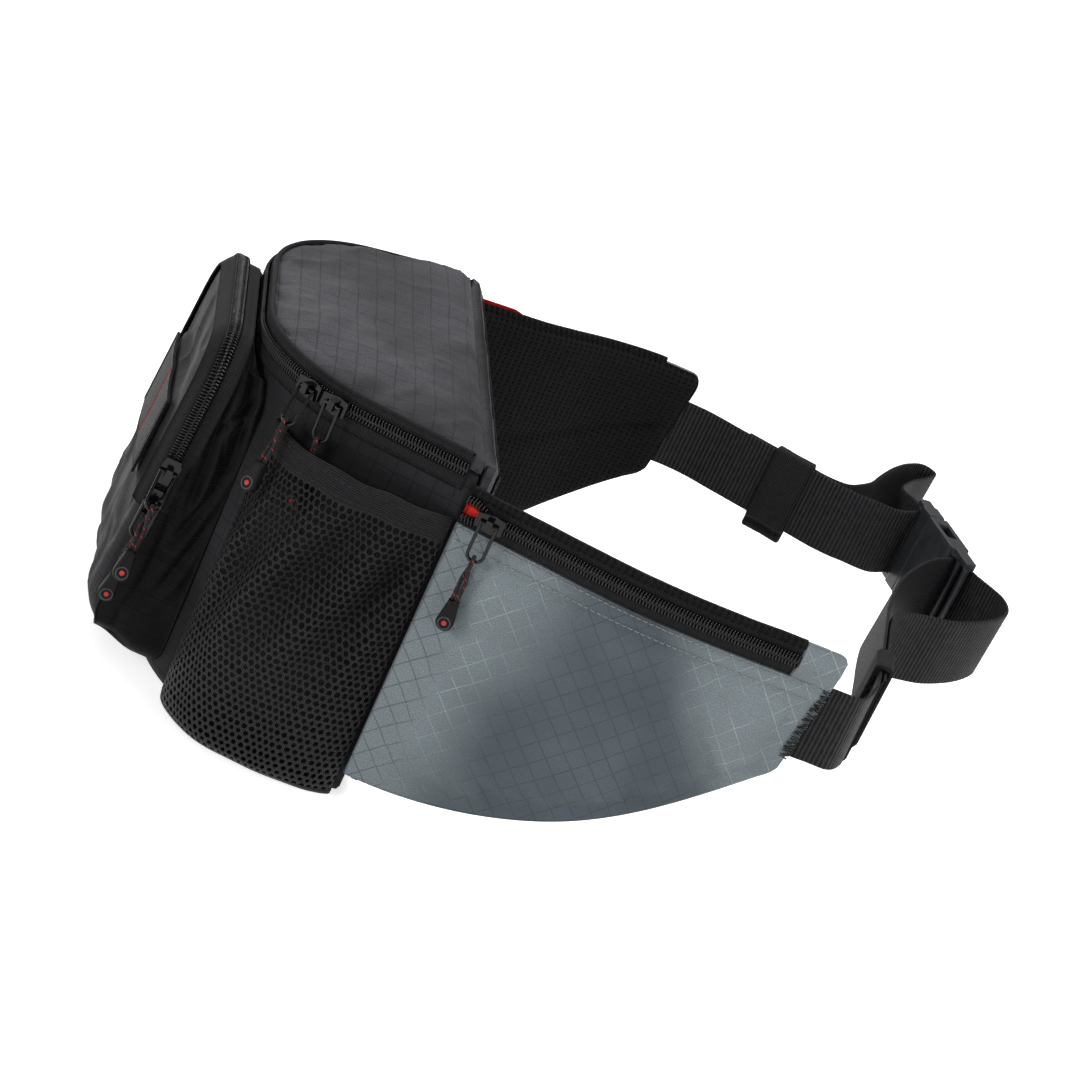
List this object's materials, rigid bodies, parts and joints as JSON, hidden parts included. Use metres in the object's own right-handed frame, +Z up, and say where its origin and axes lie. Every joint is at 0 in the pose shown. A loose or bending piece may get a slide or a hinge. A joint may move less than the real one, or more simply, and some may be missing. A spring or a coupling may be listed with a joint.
{
  "type": "waist pack",
  "caption": "Waist pack with zipped main compartment, zipped front pocket, mesh side pockets, padded hip wings with zip pockets and a webbing belt with side-release buckle.",
  "frame": {"origin": "centre of the bag's width on the plane that its base rests on, 58 mm in front of the bag's back", "axes": "+Z up, +Y towards the wearer, the front pocket faces -Y, +X along the hip wing on the wearer's right-hand side when facing the pack's back"},
  "size_m": [0.3432, 0.4399, 0.19],
  "materials": {
    "slate_ripstop": "matte",
    "charcoal_ripstop": "matte",
    "black_ripstop": "matte",
    "hex_mesh": "matte",
    "spacer_mesh": "matte",
    "elastic": "matte",
    "webbing": "matte",
    "zip_tape": "matte",
    "zip_coil": "glossy",
    "gunmetal": "dark satin",
    "pull_cord": "matte",
    "pull_rubber": "matte",
    "buckle_plastic": "matte",
    "red_lining": "matte"
  },
  "bodies": {
    "bag": {"back_panel": "charcoal_ripstop", "back_mesh": "spacer_mesh", "main_shell": "black_ripstop", "lid_zip_tape_lower": "zip_tape", "lid_zip_coil_lower": "zip_coil", "front_pocket_shell": "black_ripstop", "front_zip_tape_shell": "zip_tape", "front_zip_coil_shell": "zip_coil", "mesh_pocket_near": "hex_mesh", "mesh_pocket_far": "hex_mesh", "mesh_bindings": "elastic", "wing_panel_near": "slate_ripstop", "wing_panel_far": "slate_ripstop", "wing_pad_near": "spacer_mesh", "wing_pad_far": "spacer_mesh", "wing_zip_tapes": "zip_tape", "wing_zip_coils": "zip_coil", "wing_linings": "red_lining", "wing_end_tabs": "slate_ripstop", "belt_near": "webbing", "belt_far": "webbing", "buckle_female": "buckle_plastic"},
    "lid": {"lid_panel": "charcoal_ripstop", "lid_zip_tape_upper": "zip_tape", "lid_zip_coil_upper": "zip_coil"},
    "pocket_flap": {"front_pocket_flap": "charcoal_ripstop", "front_zip_tape_flap": "zip_tape", "front_zip_coil_flap": "zip_coil", "gear_webbing": "webbing"},
    "near_keeper": {"keeper_near": "elastic"},
    "far_keeper": {"keeper_far": "elastic"},
    "buckle_plug": {"buckle_male": "buckle_plastic"},
    "upper_latch": {"latch_arm_upper": "buckle_plastic"},
    "lower_latch": {"latch_arm_lower": "buckle_plastic"},
    "lid_front_slider": {"lid_slider_front": "gunmetal"},
    "lid_front_pull": {"lid_loop_front": "gunmetal", "lid_cord_front": "pull_cord", "lid_tip_front": "pull_rubber"},
    "lid_rear_slider": {"lid_slider_rear": "gunmetal"},
    "lid_rear_pull": {"lid_loop_rear": "gunmetal", "lid_cord_rear": "pull_cord", "lid_tip_rear": "pull_rubber"},
    "pocket_upper_slider": {"pocket_slider_upper": "gunmetal"},
    "pocket_upper_pull": {"pocket_loop_upper": "gunmetal", "pocket_cord_upper": "pull_cord", "pocket_tip_upper": "pull_rubber"},
    "pocket_lower_slider": {"pocket_slider_lower": "gunmetal"},
    "pocket_lower_pull": {"pocket_loop_lower": "gunmetal", "pocket_cord_lower": "pull_cord", "pocket_tip_lower": "pull_rubber"},
    "wing_near_slider": {"wing_slider_near": "gunmetal"},
    "wing_near_pull": {"wing_loop_near": "gunmetal", "wing_cord_near": "pull_cord", "wing_tip_near": "pull_rubber"},
    "wing_far_slider": {"wing_slider_far": "gunmetal"},
    "wing_far_pull": {"wing_loop_far": "gunmetal", "wing_cord_far": "pull_cord", "wing_tip_far": "pull_rubber"}
  },
  "joints": [
    {"name": "lid_hinge", "type": "hinge", "parent": "bag", "child": "lid", "pos_m": [0, 0.0583, 0.178], "axis": [-1, 0, 0], "range_deg": [0, 100]},
    {"name": "pocket_flap_hinge", "type": "hinge", "parent": "bag", "child": "pocket_flap", "pos_m": [0, -0.072, 0.007], "axis": [1, 0, 0], "range_deg": [0, 50]},
    {"name": "near_keeper_slide", "type": "slide", "parent": "bag", "child": "near_keeper", "axis": [-0.9748, 0.2233, 0], "range_m": [0, 0.03]},
    {"name": "far_keeper_slide", "type": "slide", "parent": "bag", "child": "far_keeper", "axis": [0.4462, 0.8949, 0], "range_m": [-0.014, 0.006]},
    {"name": "buckle_release", "type": "slide", "parent": "bag", "child": "buckle_plug", "axis": [-0.9803, -0.1977, 0], "range_m": [0, 0.03], "deforming": ["belt_far"]},
    {"name": "upper_latch_flex", "type": "hinge", "parent": "buckle_plug", "child": "upper_latch", "pos_m": [-0.10183, 0.33316, 0.1447], "axis": [-0.1977, 0.9803, 0], "range_deg": [0, 10.2]},
    {"name": "lower_latch_flex", "type": "hinge", "parent": "buckle_plug", "child": "lower_latch", "pos_m": [-0.10183, 0.33316, 0.1113], "axis": [-0.1977, 0.9803, 0], "range_deg": [-10.2, 0]},
    {"name": "lid_front_slider_run", "type": "hinge", "parent": "bag", "child": "lid_front_slider", "pos_m": [0.029, 0.03, 0.172], "axis": [0, 0, 1], "range_deg": [-12, 0]},
    {"name": "lid_front_pull_swing", "type": "hinge", "parent": "lid_front_slider", "child": "lid_front_pull", "pos_m": [0.09058, -0.02353, 0.172], "axis": [-0.6561, -0.7547, 0], "range_deg": [0, 60]},
    {"name": "lid_rear_slider_run", "type": "hinge", "parent": "bag", "child": "lid_rear_slider", "pos_m": [0.029, 0.03, 0.172], "axis": [0, 0, 1], "range_deg": [0, 8]},
    {"name": "lid_rear_pull_swing", "type": "hinge", "parent": "lid_rear_slider", "child": "lid_rear_pull", "pos_m": [0.09931, -0.01141, 0.172], "axis": [-0.5075, -0.8616, 0], "range_deg": [-1, 1]},
    {"name": "pocket_upper_slider_run", "type": "slide", "parent": "bag", "child": "pocket_upper_slider", "axis": [0, 0.0872, 0.9962], "range_m": [0, 0.032]},
    {"name": "pocket_upper_pull_swing", "type": "hinge", "parent": "pocket_upper_slider", "child": "pocket_upper_pull", "pos_m": [0.0736, -0.06355, 0.10363], "axis": [0, -0.9962, 0.0872], "range_deg": [0, 60]},
    {"name": "pocket_lower_slider_run", "type": "slide", "parent": "bag", "child": "pocket_lower_slider", "axis": [0, 0.0872, 0.9962], "range_m": [0, 0.003]},
    {"name": "pocket_lower_pull_swing", "type": "hinge", "parent": "pocket_lower_slider", "child": "pocket_lower_pull", "pos_m": [0.0736, -0.06498, 0.08719], "axis": [0, -0.9962, 0.0872], "range_deg": [0, 5]},
    {"name": "wing_near_slider_run", "type": "slide", "parent": "bag", "child": "wing_near_slider", "axis": [0.247, 0.9685, -0.0325], "range_m": [0, 0.03]},
    {"name": "wing_near_pull_swing", "type": "hinge", "parent": "wing_near_slider", "child": "wing_near_pull", "pos_m": [0.12939, 0.068, 0.15656], "axis": [-0.2471, -0.969, 0], "range_deg": [0, 90]},
    {"name": "wing_far_slider_run", "type": "slide", "parent": "bag", "child": "wing_far_slider", "axis": [-0.2469, 0.9682, -0.0415], "range_m": [0, 0.03]},
    {"name": "wing_far_pull_swing", "type": "hinge", "parent": "wing_far_slider", "child": "wing_far_pull", "pos_m": [-0.12939, 0.068, 0.15644], "axis": [-0.2471, 0.969, 0], "range_deg": [0, 90]}
  ],
  "couplings": [
    {"joint": "upper_latch_flex", "follows": "buckle_release", "rad_per_m": 5.8178},
    {"joint": "lower_latch_flex", "follows": "buckle_release", "rad_per_m": -5.8178}
  ]
}
